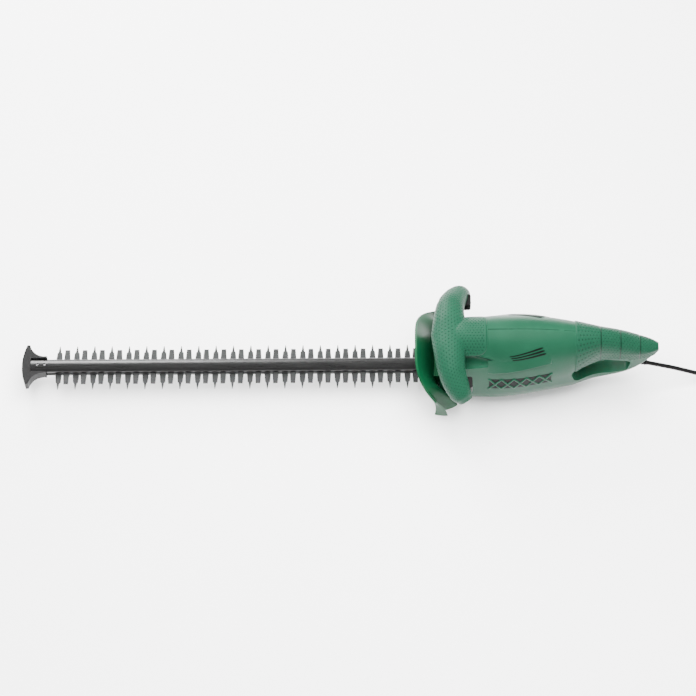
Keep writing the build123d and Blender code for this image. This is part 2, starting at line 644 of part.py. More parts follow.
def make_hand_guard():
    """Shield that leans forward at its top and sweeps back at its sides, with a blade slot."""
    outer = [0.25, 0.45, 0.58, GUARD_SKIRT_SHARE, 0.85, 1.0]
    shares = [-share for share in reversed(outer)] + [0.0] + outer
    shield = loft([guard_section(share) for share in shares])
    collar_half = 26.0
    collar_back = HOUSING_FRONT_X - FIT_GAP
    collar = block(16.0, collar_back, -collar_half, collar_half, -14.0, 17.0)
    front_points = [(0, GUARD_TOP_Z), (33, -18), (60, -18), (60, GUARD_TOP_Z)]
    collar &= prism_xz(front_points, 80)
    shield += collar
    slot_half = SPINE_WIDTH / 2 + 1.5
    shield -= block(-10, 80, -slot_half, slot_half, -BLADE_THICKNESS - 4.5, BAR_Z + BAR_HEIGHT + 1.5)
    screws = Part()
    for side in (-1, 1):
        y = side * 19.0
        shield -= rod_x(y, 3, 0, 60, SCREW_RADIUS + FIT_GAP)
        shield -= rod_x(y, 3, -20, collar_back - 6, SCREW_HEAD_RADIUS + 0.4)
        screws += rod_x(y, 3, collar_back - 6, HOUSING_FRONT_X + 8, SCREW_RADIUS)
        screws += rod_x(y, 3, collar_back - 8.2, collar_back - 6, SCREW_HEAD_RADIUS)
    nodes["hand_guard"] = shield
    nodes["guard_screws"] = screws


# ---- front handle -------------------------------------------------------------------------
def lever_block(grow):
    """Switch lever at the rear of one wing, near its end; grow gives its pocket."""
    reach = WING_REACH
    rear = LEVER_REAR_X
    low = RIDGE_Z - LEVER_DROP
    lever = block(rear - LEVER_DEPTH - grow, rear + grow, reach - 20 - grow, reach - 3 + grow,
                  low - grow, low + LEVER_HEIGHT + grow)
    return lever


def make_front_handle():
    """Two hollow wings with a sprung switch lever at the rear of each, and their fixings."""
    wing = half_wing(0)
    shell = wing - half_wing(WALL)
    lever = lever_block(0)
    lever = fillet(lever.edges().filter_by(Axis.Z), 3.0)
    pocket = lever_block(CLEARANCE) + Pos(-LEVER_TRAVEL, 0, 0) * lever_block(CLEARANCE)
    shell -= pocket
    block_top = RIDGE_Z - 8
    clamp = half_wing(WALL + CLEARANCE) & block(32, 70, 14, 36, 40, block_top)
    screw_x = 50.0
    screw_y = 24.0
    clamp -= post(screw_x, screw_y, 40, block_top + 1, SCREW_RADIUS)
    shell -= post(screw_x, screw_y, 40, RIDGE_Z - 24, SCREW_RADIUS + FIT_GAP)
    lower = RIDGE_Z - 2 * WING_HALF_THICKNESS - 2.5
    screw = post(screw_x, screw_y, lower - 3, lower + 16, SCREW_RADIUS)
    screw += post(screw_x, screw_y, lower - 5.4, lower - 3, SCREW_HEAD_RADIUS)
    spring_x = LEVER_REAR_X - LEVER_DEPTH - LEVER_TRAVEL - CLEARANCE
    spring_y = WING_REACH - 11.5
    spring_z = RIDGE_Z - LEVER_DROP + LEVER_HEIGHT / 2
    spring = rod_x(spring_y, spring_z, spring_x - 5, spring_x - CLEARANCE, 2.6)
    shell -= rod_x(spring_y, spring_z, spring_x - 5, spring_x + 1, 2.6 + FIT_GAP)
    spring -= rod_x(spring_y, spring_z, spring_x - 6, spring_x + 1, 1.8)
    shell_right = shell
    recess_y = 0.70 * WING_REACH
    recess_z = RIDGE_Z - 20.0
    boss = rod_x(recess_y, recess_z, 30, 66, 6.0) & wing
    shell_right += boss - pocket
    shell_right -= rod_x(recess_y, recess_z, 20, 42, SCREW_HEAD_RADIUS + 0.6)
    shell_right -= rod_x(recess_y, recess_z, 40, 62, SCREW_RADIUS)
    wing_screw = rod_x(recess_y, recess_z, 42, 60, SCREW_RADIUS)
    wing_screw += rod_x(recess_y, recess_z, 39.6, 42, SCREW_HEAD_RADIUS)
    nodes["front_handle_right"] = shell_right
    nodes["front_handle_left"] = mirrored(shell)
    nodes["front_lever_right"] = lever
    nodes["front_lever_left"] = mirrored(lever)
    nodes["lever_springs"] = spring + mirrored(spring)
    nodes["handle_clamp_blocks"] = clamp + mirrored(clamp)
    nodes["handle_screws"] = screw + mirrored(screw)
    nodes["wing_screw"] = wing_screw
    return wing


# ---- housing ------------------------------------------------------------------------------
def trigger_outline(grow):
    """Side outline of the trigger: a long lever that follows the underside of the grip."""
    tip = REAR_TIP_X
    return [
        (TRIGGER_PIVOT_X - 7 - grow, TRIGGER_PIVOT_Z + 6 + grow),
        (tip - 70, TRIGGER_PIVOT_Z - 0.5 + grow),
        (tip - 36 + grow, 43 + grow),
        (tip - 34 + grow, 29.0 - grow),
        (tip - 72, 40.5 - grow),
        (TRIGGER_PIVOT_X - 7 - grow, 46.5 - grow),
    ]


def pad_solid(grow=0.0):
    """Half of the rear grip's pad, on the +Y side; grow gives the recess that it sits in."""
    solid = half_body(0) - half_body(PAD_THICKNESS + grow) - opening_prism(PAD_THICKNESS - grow)
    rear = REAR_TIP_X + 20
    zone = block(PAD_FRONT_X - grow, rear, -1, 60, 46 - grow, RIDGE_Z + 20)
    zone += block(REAR_TIP_X - 40 - grow, rear, -1, 60, 40 - grow, RIDGE_Z)
    return solid & zone


def trigger_room():
    """Space the trigger sweeps through from rest to its full pull, with clearance round it."""
    pivot = Pos(TRIGGER_PIVOT_X, 0, TRIGGER_PIVOT_Z)
    home = pivot.inverse() * prism_xz(trigger_outline(1.2), TRIGGER_WIDTH / 2 + 0.6)
    room = pivot * home
    for share in (0.5, 1.0):
        room += pivot * Rot(0, -TRIGGER_TRAVEL * share, 0) * home
    return room


def make_housing(wing):
    """Left and right shells with screw bosses, motor ribs, vents and the trigger slot."""
    outer = half_body(0) - opening_prism() - wing - scoop_cone()
    pad = pad_solid()
    cavity = half_body(WALL + PAD_THICKNESS) - opening_prism(WALL) - scoop_cone(WALL)
    shell = outer - cavity
    bosses = Part()
    for x, z in screw_places():
        bosses += rod_y(x, z, 0, BODY_HALF_WIDTH + 5, BOSS_RADIUS)
    ribs = Part()
    rib_half = STATOR_RADIUS + 8
    for z in (CORE_Z + 4, CORE_Z + CORE_LENGTH - 6):
        rib = block(MOTOR_X - rib_half, MOTOR_X + rib_half, 0, BODY_HALF_WIDTH + 5, z, z + 2)
        ribs += rib - post(MOTOR_X, 0, z - 1, z + 3, STATOR_RADIUS + FIT_GAP)
    cap_rib = block(MOTOR_X - 16, MOTOR_X + 16, 0, 30, UPPER_BEARING_Z, UPPER_BEARING_Z + 2)
    ribs += cap_rib - post(MOTOR_X, 0, UPPER_BEARING_Z - 1, UPPER_BEARING_Z + 3,
                           BEARING_RADIUS + 2 + FIT_GAP)
    inner_limit = half_body(WALL + PAD_THICKNESS - 1) & half_body(PAD_THICKNESS + 1)
    inner_limit -= opening_prism(WALL - 1)
    shell += (bosses + ribs) & inner_limit
    slot = block(HOUSING_FRONT_X - 1, HOUSING_FRONT_X + 20, -1, SPINE_WIDTH / 2 + 2,
                 -BLADE_THICKNESS - 4.5, BAR_Z + BAR_HEIGHT + 2)
    shell -= slot
    gearbox_room = block(HOUSING_FRONT_X + WALL + 3, MOTOR_X + 16, -1, 32,
                         -BLADE_THICKNESS - 9, PLATE_Z + PLATE_THICKNESS + 6)
    shell -= gearbox_room
    shell -= rod_x(19, 3, HOUSING_FRONT_X - 1, HOUSING_FRONT_X + 9, SCREW_RADIUS)
    shell -= trigger_room()
    pivot = rod_y(TRIGGER_PIVOT_X, TRIGGER_PIVOT_Z, TRIGGER_WIDTH / 2 + 0.8, 30, 5.0)
    shell += pivot & inner_limit
    shell -= pad_solid(2 * FIT_GAP)
    shell -= rod_y(TRIGGER_PIVOT_X, TRIGGER_PIVOT_Z, 0, TRIGGER_WIDTH / 2 + 5, TRIGGER_PIN_RADIUS)
    relief = Pos(REAR_TIP_X - 30, 0, 11.5) * Rot(0, 90 + RELIEF_TILT, 0)
    shell -= relief * Cylinder(RELIEF_RADIUS + FIT_GAP, 40)
    vents = Part()
    for i in range(5):
        x = MOTOR_X - 20 + 15 * i
        for offset in (0, 6.5):
            vent = Pos(x + offset, BODY_HALF_WIDTH, 34) * Rot(0, 40, 0) * Box(3.0, 26, 13)
            vents += vent
    shell -= vents
    right = shell
    left = mirrored(shell)
    screws = Part()
    for x, z in screw_places():
        head_y = 18.0 if x < PAD_FRONT_X + 40 else 10.0
        right -= rod_y(x, z, -1, head_y, SCREW_RADIUS + FIT_GAP)
        right -= rod_y(x, z, head_y, BODY_HALF_WIDTH + 10, SCREW_HEAD_RADIUS + 0.3)
        left -= rod_y(x, z, -8, 1, SCREW_RADIUS)
        screws += rod_y(x, z, -8, head_y, SCREW_RADIUS)
        screws += rod_y(x, z, head_y, head_y + 2.4, SCREW_HEAD_RADIUS)
    nodes["housing_right"] = right
    nodes["housing_left"] = left
    nodes["housing_screws"] = screws
    nodes["rear_grip_pad"] = pad + mirrored(pad)


# ---- rear handle parts --------------------------------------------------------------------
def make_trigger():
    """Trigger, its pivot pin and the switch block above it."""
    trigger = prism_xz(trigger_outline(0), TRIGGER_WIDTH / 2)
    trigger -= rod_y(TRIGGER_PIVOT_X, TRIGGER_PIVOT_Z, -20, 20, TRIGGER_PIN_RADIUS + RUNNING_GAP)
    nodes["trigger"] = trigger
    pin_half = TRIGGER_WIDTH / 2 + 4.5
    nodes["trigger_pin"] = rod_y(TRIGGER_PIVOT_X, TRIGGER_PIVOT_Z, -pin_half, pin_half,
                                 TRIGGER_PIN_RADIUS)
    tip = REAR_TIP_X
    switch_x = tip - 86
    nodes["rear_microswitch"] = block(switch_x, switch_x + 20, -5, 5, 65.5, 74.5)
    nodes["front_microswitch"] = block(60, 80, -5, 5, 44, 55)
    nodes["suppression_capacitor"] = block(tip - 158, tip - 132, -9, 9, 40, 58)
    nodes["cord_clamp"] = block(tip - 88, tip - 76, -8, 8, -4.0, 2.0)


def make_strain_relief():
    """Rubber sleeve that tapers down to the cord, tilted down towards the rear."""
    at = Pos(REAR_TIP_X - 30, 0, 11.5) * Rot(0, 90 + RELIEF_TILT, 0)
    collar = at * Cylinder(RELIEF_RADIUS, 10)
    cone = at * Pos(0, 0, 12) * Cone(RELIEF_RADIUS, CORD_DIAMETER / 2 + 0.3, 14)
    nodes["strain_relief"] = collar + cone


def cord_radii(points):
    """Largest arc at each corner: 0.45 of the shorter run over the tangent of half the turn."""
    radii = []
    for before, here, after in zip(points, points[1:], points[2:]):
        run_in = Vector(*here) - Vector(*before)
        run_out = Vector(*after) - Vector(*here)
        half_turn = math.radians(run_in.get_angle(run_out)) / 2
        radii.append(0.45 * min(run_in.length, run_out.length) / math.tan(half_turn))
    return radii


def cord_tube(points):
    """Round cord along straight runs joined by tangent arcs; prints its radii and volume."""
    radii = cord_radii(points)
    path = FilletPolyline(*points, radius=radii)
    start = Plane(origin=path @ 0, z_dir=path % 0)
    tube = sweep(start * Circle(CORD_DIAMETER / 2), path=path)
    expected = math.pi * CORD_DIAMETER ** 2 / 4 * path.length
    print("cord radii", [round(r, 1) for r in radii], "length", round(path.length, 1),
          "volume ratio", round(tube.volume / expected, 4))
    return tube


def make_cord():
    """Free cord down to the floor, its stored coil with a clip, the tail and the plug."""
    cx, cy = COIL_CENTRE
    half = CORD_DIAMETER / 2
    coil_top = 2 * CORD_DIAMETER + 0.8
    coil = Pos(cx, cy, (0.2 + coil_top) / 2) * Cylinder(COIL_RADIUS + half, coil_top - 0.2)
    coil -= Pos(cx, cy, coil_top / 2) * Cylinder(COIL_RADIUS - half, coil_top + 2)
    coil = fillet(coil.edges(), 2.5)
    clip_x = cx - COIL_RADIUS
    clip = block(clip_x - half - 1.6, clip_x + half + 1.6, cy - 4, cy + 4, 0.2, coil_top + 1.4)
    clip -= block(clip_x - half - CLEARANCE, clip_x + half + CLEARANCE, cy - 6, cy + 6,
                  0, coil_top + CLEARANCE)
    clip -= Pos(cx, cy, coil_top / 2) * (
        Cylinder(COIL_RADIUS + half + CLEARANCE, coil_top + 2 * CLEARANCE)
        - Cylinder(COIL_RADIUS - half - CLEARANCE, coil_top + 2 * CLEARANCE))
    x, y, z = CORD_TAIL[-1]
    neck = Pos(x, y, z) * Rot(-90, 0, 0) * Pos(0, 0, 7) * Cone(half + 1.2, half + 4.5, 14)
    body = Box(PLUG_WIDTH, 30, 2 * z - 0.4)
    body = fillet(body.edges().filter_by(Axis.Y), 8)
    body = chamfer(body.faces().sort_by(Axis.Y)[0].edges(), 5)
    body = Pos(x, y + 14 + 15, z) * body
    pins = Part()
    for side in (-1, 1):
        pins += Pos(x + side * 9.5, y + 44 + 9, z) * Rot(90, 0, 0) * Cylinder(2.4, 18)
    cord = cord_tube(CORD_ROUTE)
    tail = cord_tube(CORD_TAIL)
    nodes["cord"] = cord
    nodes["cord_coil"] = coil - cord - tail
    nodes["cord_clip"] = clip
    nodes["cord_tail"] = tail
    nodes["plug_body"] = neck + body
    nodes["plug_pins"] = pins


make_blades()
make_tip_guard()
make_gears()
make_gearbox()
make_motor()
make_hand_guard()
make_housing(make_front_handle())
make_trigger()
make_strain_relief()

nodes = {name: PLACE * solid for name, solid in nodes.items()}
make_cord()

os.makedirs("parts", exist_ok=True)
for name, solid in nodes.items():
    export_step(solid, f"parts/{name}.step")
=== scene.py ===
"""Corded hedge trimmer: grips, vents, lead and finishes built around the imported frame."""

import json
import math

import bmesh
import bpy
import numpy as np
from mathutils import Matrix, Vector


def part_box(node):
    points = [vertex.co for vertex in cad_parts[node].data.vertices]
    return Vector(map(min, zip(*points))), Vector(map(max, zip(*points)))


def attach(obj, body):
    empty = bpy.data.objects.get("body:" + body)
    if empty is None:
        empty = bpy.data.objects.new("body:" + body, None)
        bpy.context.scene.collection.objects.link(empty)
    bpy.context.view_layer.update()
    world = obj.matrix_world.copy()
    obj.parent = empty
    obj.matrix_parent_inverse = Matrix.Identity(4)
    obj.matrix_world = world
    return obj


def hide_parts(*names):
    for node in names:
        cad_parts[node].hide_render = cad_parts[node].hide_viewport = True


bl_info = {
    "name": "Hedge Trimmer",
    "version": (1, 0, 0),
    "blender": (4, 5, 0),
    "location": "View3D > Sidebar > Trimmer",
    "description": "Builds the grips, vents, lead and finishes of a corded hedge trimmer",
    "category": "Add Mesh",
}

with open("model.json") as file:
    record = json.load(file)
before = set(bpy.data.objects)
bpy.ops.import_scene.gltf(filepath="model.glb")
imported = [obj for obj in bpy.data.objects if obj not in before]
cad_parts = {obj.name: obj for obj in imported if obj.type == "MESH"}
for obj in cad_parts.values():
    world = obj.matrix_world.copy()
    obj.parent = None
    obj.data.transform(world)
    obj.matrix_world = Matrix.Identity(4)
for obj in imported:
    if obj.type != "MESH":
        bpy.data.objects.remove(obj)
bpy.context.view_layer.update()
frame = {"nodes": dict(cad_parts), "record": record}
NODES = frame["nodes"]

# Places of the tool's own origin, at the front of the hand guard on the blade plane. The blade's
# underside is the comb's, two millimetres below that plane.
COMB_THICKNESS = 0.002
HOUSING_FRONT_X = 0.034
TOOL_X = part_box("housing_right")[0][0] - HOUSING_FRONT_X
BLADE_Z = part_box("comb_blade")[0][2] + COMB_THICKNESS
CORD_RADIUS = 0.003

# Recess of the screw in the front of the right wing.
SCREW_Y, SCREW_Z = 0.057, 0.078
SCREW_RECESS_RADIUS = 0.0038
SCREW_RECESS_DEPTH = 0.0042
WING_MIDDLE_X = 0.050

# Measures that carry the dimple pattern over a wing.
WING_LENGTH = 0.098
WING_GIRTH_RADIUS = 0.0205

# How far a skin's inner face lies under the moulding.
SKIN_SUNK = 0.0008
PAD_SKIN_SUNK = 0.0016


# ---- the housing's shape ------------------------------------------------------------------
# Stations along X from the guard's front: place, lowest z, lower and upper ends of the upright
# side, top z and half width, in metres from the tool's origin.
BODY_STATIONS = 0.001 * np.array([
    (34, -24.5, 8, 12, 86, 38.6),
    (56, -34.5, 8, 13, 95, 44.6),
    (90, -36.5, 9, 15, 97.5, 48.0),
    (130, -33.5, 14, 24, 98, 49.5),
    (170, -26.5, 16, 34, 97, 44.1),
    (216, -20.5, 14, 42, 91, 33.7),
    (252, -12.5, 4, 62, 84.5, 19.0),
    (279, -2.5, 10, 58, 75.5, 17.0),
    (306, 14.5, 26, 52, 62, 13.5),
    (322, 32.5, 42, 51, 55, 8.5),
    (330, 45.5, 48, 50, 52, 4.0),
])

# Centre line of one wing of the front handle: x, y, z, direction, half depth and half thickness.
WING_STATIONS = 0.001 * np.array([
    (48.0, 0.0, 80.5, 0, 1000, 0, 25.0, 15.0),
    (47.5, 24.3, 80.5, 30, 1000, -40, 21.0, 15.0),
    (49.0, 45.6, 76.5, 200, 1000, -350, 18.5, 14.5),
    (54.0, 62.3, 69.0, 550, 1000, -650, 17.0, 13.5),
    (61.5, 76.0, 59.5, 900, 1000, -1000, 14.5, 12.5),
    (68.5, 83.5, 51.5, 900, 1000, -1000, 9.5, 8.5),
])


def smooth_rows(rows, at):
    """Rows read at the places given by their first column: a cubic through every row whose
    slope at a row is that of the line between its two neighbours."""
    xs = rows[:, 0]
    slopes = np.gradient(rows, xs, axis=0)
    at = np.clip(at, xs[0], xs[-1])
    k = np.clip(np.searchsorted(xs, at, side="right") - 1, 0, len(xs) - 2)
    h = (xs[k + 1] - xs[k])[..., None]
    t = (at - xs[k])[..., None] / h
    a = (1 + 2 * t) * (1 - t) ** 2
    b = t * (1 - t) ** 2
    c = t ** 2 * (3 - 2 * t)
    d = t ** 2 * (t - 1)
    return a * rows[k] + b * h * slopes[k] + c * rows[k + 1] + d * h * slopes[k + 1]


def place(points):
    """Points of the tool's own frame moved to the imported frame."""
    return points + np.array([TOOL_X, 0.0, BLADE_Z])


def normals_of(points):
    """Unit normals of a grid: the cross product of its two difference directions."""
    du = np.gradient(points, axis=0)
    dv = np.gradient(points, axis=1)
    normal = np.cross(du, dv)
    return normal / np.maximum(np.linalg.norm(normal, axis=2, keepdims=True), 1e-12)


def body_side(x, z, side):
    """Point of the housing at a place along it and a height: y follows the upper quarter
    ellipse, the upright side or the lower quarter ellipse of its section."""
    rows = smooth_rows(BODY_STATIONS, x)
    low, side_low, side_high, top, half = (rows[..., i] for i in range(1, 6))
    up = np.clip((z - side_high) / (top - side_high), 0, 0.999)
    down = np.clip((side_low - z) / (side_low - low), 0, 0.999)
    y = half * np.sqrt(1 - up ** 2) * np.sqrt(1 - down ** 2)
    return np.stack([x, side * y, z], axis=-1)


def body_top(x, across, floor_z, flat_share=0.3):
    """Point of the housing's upper part: across runs from -1 at the left edge over the ridge
    to 1 at the right edge. The outer share of each half climbs the upright side from floor_z
    and the rest turns a quarter ellipse."""
    rows = smooth_rows(BODY_STATIONS, x)
    low, side_low, side_high, top, half = (rows[..., i] for i in range(1, 6))
    start = np.maximum(np.minimum(floor_z, side_high - 0.001), low + 0.001)
    w = 1 - np.abs(across)
    climb = np.clip(w / flat_share, 0, 1)
    angle = np.clip((w - flat_share) / (1 - flat_share), 0, 1) * math.pi / 2
    z = start + (side_high - start) * climb + (top - side_high) * np.sin(angle)
    down = np.clip((side_low - z) / (side_low - low), 0, 0.999)
    y = half * np.cos(angle) * np.sqrt(1 - down ** 2)
    return np.stack([x, np.sign(across) * y, z], axis=-1)


def body_arc(x, angle):
    """Point of the housing's upper ellipse: angle turns from the right side, 0, over the
    ridge, a quarter turn, to the left side, a half turn."""
    rows = smooth_rows(BODY_STATIONS, x)
    side_high, top, half = rows[..., 3], rows[..., 4], rows[..., 5]
    return np.stack([x, half * np.cos(angle), side_high + (top - side_high) * np.sin(angle)],
                    axis=-1)


def wing_point(s, angle, side):
    """Point of a wing: s runs along its bent centre line, and angle round its elliptical
    section, 0 at the rear, a quarter turn at the top."""
    marks = np.linspace(0, 1, len(WING_STATIONS))
    rows = smooth_rows(np.column_stack([marks, WING_STATIONS]), s)[..., 1:]
    centre, along = rows[..., 0:3], rows[..., 3:6]
    along = along / np.linalg.norm(along, axis=-1, keepdims=True)
    deep = np.zeros_like(centre) + np.array([1.0, 0.0, -0.02])
    deep = deep - along * np.sum(deep * along, axis=-1, keepdims=True)
    deep = deep / np.linalg.norm(deep, axis=-1, keepdims=True)
    up = np.cross(deep, along)
    point = (centre + deep * (rows[..., 6] * np.cos(angle))[..., None]
             + up * (rows[..., 7] * np.sin(angle))[..., None])
    return point * np.array([1.0, side, 1.0])


# ---- mesh makers --------------------------------------------------------------------------
def mesh_from(name, vertices, quads, smooth=True):
    """Object with its place in its mesh, from an array of points and an array of quads."""
    mesh = bpy.data.meshes.new(name)
    mesh.vertices.add(len(vertices))
    mesh.vertices.foreach_set("co", np.ascontiguousarray(vertices, np.float32).ravel())
    mesh.loops.add(quads.size)
    mesh.loops.foreach_set("vertex_index", np.ascontiguousarray(quads, np.int32).ravel())
    mesh.polygons.add(len(quads))
    mesh.polygons.foreach_set("loop_start", np.arange(0, quads.size, 4, dtype=np.int32))
    mesh.polygons.foreach_set("use_smooth", np.full(len(quads), smooth))
    mesh.update(calc_edges=True)
    mesh.validate()
    obj = bpy.data.objects.new(name, mesh)
    bpy.context.scene.collection.objects.link(obj)
    return obj


def grid_quads(rows, columns, wrap=False):
    """Quads of a grid of points, row by row; wrap joins the last column to the first."""
    r, c = np.meshgrid(np.arange(rows - 1), np.arange(columns - (0 if wrap else 1)),
                       indexing="ij")
    nxt = (c + 1) % columns
    quads = np.stack([r * columns + c, r * columns + nxt, (r + 1) * columns + nxt,
                      (r + 1) * columns + c], axis=-1)
    return quads.reshape(-1, 4)


def skin(name, outer, inner, wear=None):
    """Closed thin shell between two grids of the same size, joined round their edges. The
    outer grid's own normal, columns across rows, points out."""
    rows, columns = outer.shape[:2]
    count = rows * columns
    faces = grid_quads(rows, columns)
    ids = np.arange(count).reshape(rows, columns)
    rim = np.concatenate([ids[0, :-1], ids[:-1, -1], ids[-1, :0:-1], ids[:0:-1, 0]])
    after = np.roll(rim, -1)
    walls = np.stack([rim, rim + count, after + count, after], axis=-1)
    quads = np.concatenate([faces[:, ::-1], faces + count, walls[:, ::-1]])
    vertices = np.concatenate([outer.reshape(-1, 3), inner.reshape(-1, 3)])
    obj = mesh_from(name, place(vertices), outward(vertices, quads))
    # The mask is painted shade, kept on every point for the grip finish to darken by.
    if wear is not None:
        mask = obj.data.attributes.new("painted_shade", "FLOAT", "POINT")
        mask.data.foreach_set("value", np.tile(wear.ravel(), 2).astype(np.float32))
    return obj


def outward(vertices, quads):
    """The quads turned, if need be, so that the closed shape they bound has a positive volume."""
    a, b, c, d = (vertices[quads[:, i]] for i in range(4))
    volume = np.sum(np.cross(a, b) * c) + np.sum(np.cross(a, c) * d)
    return quads if volume > 0 else quads[:, ::-1]


def tube(name, path, across, up, radius, sides):
    """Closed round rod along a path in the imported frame: at each point a ring spanned by
    across and up, its radius given point by point, with its two ends drawn to a pole."""
    turn = np.linspace(0, 2 * math.pi, sides, endpoint=False)
    ring = (path[:, None, :]
            + across[:, None, :] * (radius[:, None] * np.cos(turn))[..., None]
            + up[:, None, :] * (radius[:, None] * np.sin(turn))[..., None])
    first = np.repeat(path[:1][:, None, :], sides, axis=1)
    last = np.repeat(path[-1:][:, None, :], sides, axis=1)
    ring = np.concatenate([first, ring, last])
    quads = grid_quads(len(ring), sides, wrap=True)
    vertices = ring.reshape(-1, 3)
    obj = mesh_from(name, vertices, outward(vertices, quads))
    merge_poles(obj)
    return obj


def merge_poles(obj):
    """Joins the points that lie on each other at a mesh's poles."""
    work = bmesh.new()
    work.from_mesh(obj.data)
    bmesh.ops.remove_doubles(work, verts=work.verts, dist=1e-6)
    bmesh.ops.recalc_face_normals(work, faces=work.faces)
    work.to_mesh(obj.data)
    work.free()


def dimple_field(u, v, pitch, depth):
    """Height of a field of round dimples set in offset rows: a raised cosine falls to -depth
    at each dimple's centre and to nothing at its rim."""
    row_share, radius_share = 0.866, 0.24
    row = np.round(v / (pitch * row_share))
    shift = np.mod(row, 2) * pitch / 2
    du = u - shift - np.round((u - shift) / pitch) * pitch
    dv = v - row * pitch * row_share
    r = np.hypot(du, dv) / (radius_share * pitch)
    return -depth * 0.5 * (1 + np.cos(math.pi * np.clip(r, 0, 1)))


# ---- shader groups and materials ----------------------------------------------------------
MOULDING_SPECULAR = 0.17
GRAIN_STRENGTH = 0.35
LINE_STRENGTH, LINE_DEPTH = 0.25, 0.00005

# Filled by make_finishes: shader groups by name, and materials by the record's slot.
GROUPS = {}
FINISH = {}


def new_group(name, inputs, outputs):
    """Shader node group with named float inputs and outputs of the given kinds."""
    group = bpy.data.node_groups.new(name, "ShaderNodeTree")
    for label, value in inputs:
        socket = group.interface.new_socket(name=label, in_out="INPUT",
                                            socket_type="NodeSocketFloat")
        socket.default_value = value
    for label, kind in outputs:
        group.interface.new_socket(name=label, in_out="OUTPUT", socket_type=kind)
    return group, group.nodes.new("NodeGroupInput"), group.nodes.new("NodeGroupOutput")


def maths(tree, kind, a, b=None, clamp=False):
    """One Math node: a and b are sockets or numbers."""
    node = tree.nodes.new("ShaderNodeMath")
    node.operation = kind
    node.use_clamp = clamp
    for i, value in enumerate((a, b)):
        if value is None:
            continue
        if isinstance(value, bpy.types.NodeSocket):
            tree.links.new(value, node.inputs[i])
        else:
            node.inputs[i].default_value = value
    return node.outputs[0]


def noise(tree, scale, detail=3.0, stretch=None):
    """Noise on Object coordinates, stretched by three scales if given; scale may be a socket."""
    coords = tree.nodes.new("ShaderNodeTexCoord").outputs["Object"]
    if stretch:
        mapping = tree.nodes.new("ShaderNodeMapping")
        mapping.inputs["Scale"].default_value = stretch
        tree.links.new(coords, mapping.inputs["Vector"])
        coords = mapping.outputs[0]
    node = tree.nodes.new("ShaderNodeTexNoise")
    node.inputs["Detail"].default_value = detail
    tree.links.new(coords, node.inputs["Vector"])
    if isinstance(scale, bpy.types.NodeSocket):
        tree.links.new(scale, node.inputs["Scale"])
    else:
        node.inputs["Scale"].default_value = scale
    return node.outputs["Fac"]


def spark_texture_group():
    """Moulded spark texture: a slow mask for colour drift and a fine grain height."""
    group, given, out = new_group(
        "spark_texture", [("Grain Scale", 1500.0), ("Drift Scale", 22.0)],
        [("Drift", "NodeSocketFloat"), ("Grain", "NodeSocketFloat")])
    group.links.new(noise(group, given.outputs["Drift Scale"], 2.0), out.inputs["Drift"])
    group.links.new(noise(group, given.outputs["Grain Scale"], 4.0), out.inputs["Grain"])
    return group


def edge_wear_group():
    """Worn edges: convex edges found by pointiness and broken up by noise."""
    group, given, out = new_group(
        "edge_wear", [("Spread", 9.0), ("Break Up", 240.0)], [("Wear", "NodeSocketFloat")])
    geometry = group.nodes.new("ShaderNodeNewGeometry")
    sharp = maths(group, "SUBTRACT", geometry.outputs["Pointiness"], 0.51)
    sharp = maths(group, "MULTIPLY", sharp, given.outputs["Spread"], clamp=True)
    broken = noise(group, given.outputs["Break Up"], 4.0)
    group.links.new(maths(group, "MULTIPLY", sharp, broken, clamp=True), out.inputs["Wear"])
    return group


def machined_group():
    """Machining or grinding lines: noise drawn out along one axis."""
    group, given, out = new_group(
        "machined_lines", [("Line Scale", 60.0)], [("Lines", "NodeSocketFloat")])
    group.links.new(noise(group, given.outputs["Line Scale"], 5.0, (1.0, 26.0, 26.0)),
                    out.inputs["Lines"])
    return group


def placed_group(tree, group, **values):
    """A group node set to the given input values, with underscores for spaces."""
    node = tree.nodes.new("ShaderNodeGroup")
    node.node_tree = group
    for label, value in values.items():
        node.inputs[label.replace("_", " ")].default_value = value
    return node


def mixed_colour(tree, mask, low, high):
    """Colour from low, a socket or a plain colour, to the plain colour high, by a mask."""
    node = tree.nodes.new("ShaderNodeMix")
    node.data_type = "RGBA"
    tree.links.new(mask, node.inputs["Factor"])
    if isinstance(low, bpy.types.NodeSocket):
        tree.links.new(low, node.inputs["A"])
    else:
        node.inputs["A"].default_value = (*low, 1)
    node.inputs["B"].default_value = (*high, 1)
    return node.outputs["Result"]


def spread(tree, value, low, high):
    """Map Range from the noise's usual span to low..high."""
    node = tree.nodes.new("ShaderNodeMapRange")
    tree.links.new(value, node.inputs["Value"])
    node.inputs["From Min"].default_value = 0.3
    node.inputs["From Max"].default_value = 0.7
    node.inputs["To Min"].default_value = low
    node.inputs["To Max"].default_value = high
    return node.outputs["Result"]


def scaled(colour_value, share):
    """A colour times a number."""
    return tuple(share * c for c in colour_value)


def started_material(name):
    """Empty node material with its Principled BSDF."""
    material = bpy.data.materials.new(name)
    material.use_nodes = True
    tree = material.node_tree
    return material, tree, tree.nodes["Principled BSDF"]


def bump(tree, shader, height, strength, distance):
    """Bump node on a height socket, into the shader's Normal."""
    node = tree.nodes.new("ShaderNodeBump")
    node.inputs["Strength"].default_value = strength
    node.inputs["Distance"].default_value = distance
    tree.links.new(height, node.inputs["Height"])
    tree.links.new(node.outputs["Normal"], shader.inputs["Normal"])


